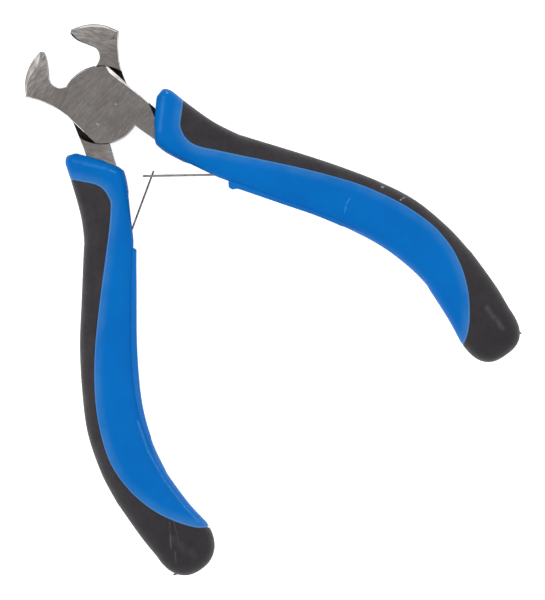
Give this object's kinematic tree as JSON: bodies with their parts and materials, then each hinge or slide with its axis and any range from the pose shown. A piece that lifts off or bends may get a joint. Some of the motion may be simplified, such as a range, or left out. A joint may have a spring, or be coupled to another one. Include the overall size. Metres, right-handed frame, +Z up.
{
  "type": "glass nippers",
  "caption": "Hand nippers for snapping and shaping glass mosaic pieces, with end-cutting jaws, a lap joint, leaf springs that open them and two-colour moulded grips.",
  "frame": {"origin": "on the pivot axis, in the lower ground face of the joint", "axes": "+Z up along the pivot axis, +Y from the handles to the jaws along the line that halves the open handles, +X towards the handle of the upper lever"},
  "size_m": [0.0872, 0.1033, 0.0108],
  "materials": {
    "forged_steel": "ground flat with a fine grain on the faces, black oxide left in the recesses",
    "spring_steel": "plain rolled strip",
    "grip_blue": "satin moulded plastic",
    "grip_black": "soft matte overmould"
  },
  "bodies": {
    "lower_lever": {"lever_lower": "forged_steel", "pivot_rivet": "forged_steel", "grip_core_left": "grip_blue", "grip_soft_left": "grip_black", "spring_rivet_left": "spring_steel"},
    "upper_lever": {"lever_upper": "forged_steel", "grip_core_right": "grip_blue", "grip_soft_right": "grip_black", "spring_rivet_right": "spring_steel"},
    "leaf_left": {"leaf_spring_left": "spring_steel"},
    "leaf_right": {"leaf_spring_right": "spring_steel"}
  },
  "joints": [
    {"name": "pivot", "type": "hinge", "parent": "lower_lever", "child": "upper_lever", "pos_m": [0, 0, 0.004], "axis": [0, 0, -1], "range_deg": [0, 23.3], "stiffness_Nm_per_rad": 0.6, "springref_deg": -2.86},
    {"name": "leaf_right_flex", "type": "hinge", "parent": "upper_lever", "child": "leaf_right", "pos_m": [0.01182, -0.02537, 0.004], "axis": [0, 0, -1], "range_deg": [0, 17.5], "deforming": ["leaf_spring_right"]},
    {"name": "leaf_left_flex", "type": "hinge", "parent": "lower_lever", "child": "leaf_left", "pos_m": [-0.01182, -0.02537, 0.004], "axis": [0, 0, 1], "range_deg": [0, 17.5], "deforming": ["leaf_spring_left"]}
  ],
  "couplings": [
    {"joint": "leaf_right_flex", "follows": "pivot", "ratio": 0.738},
    {"joint": "leaf_left_flex", "follows": "pivot", "ratio": 0.738}
  ]
}
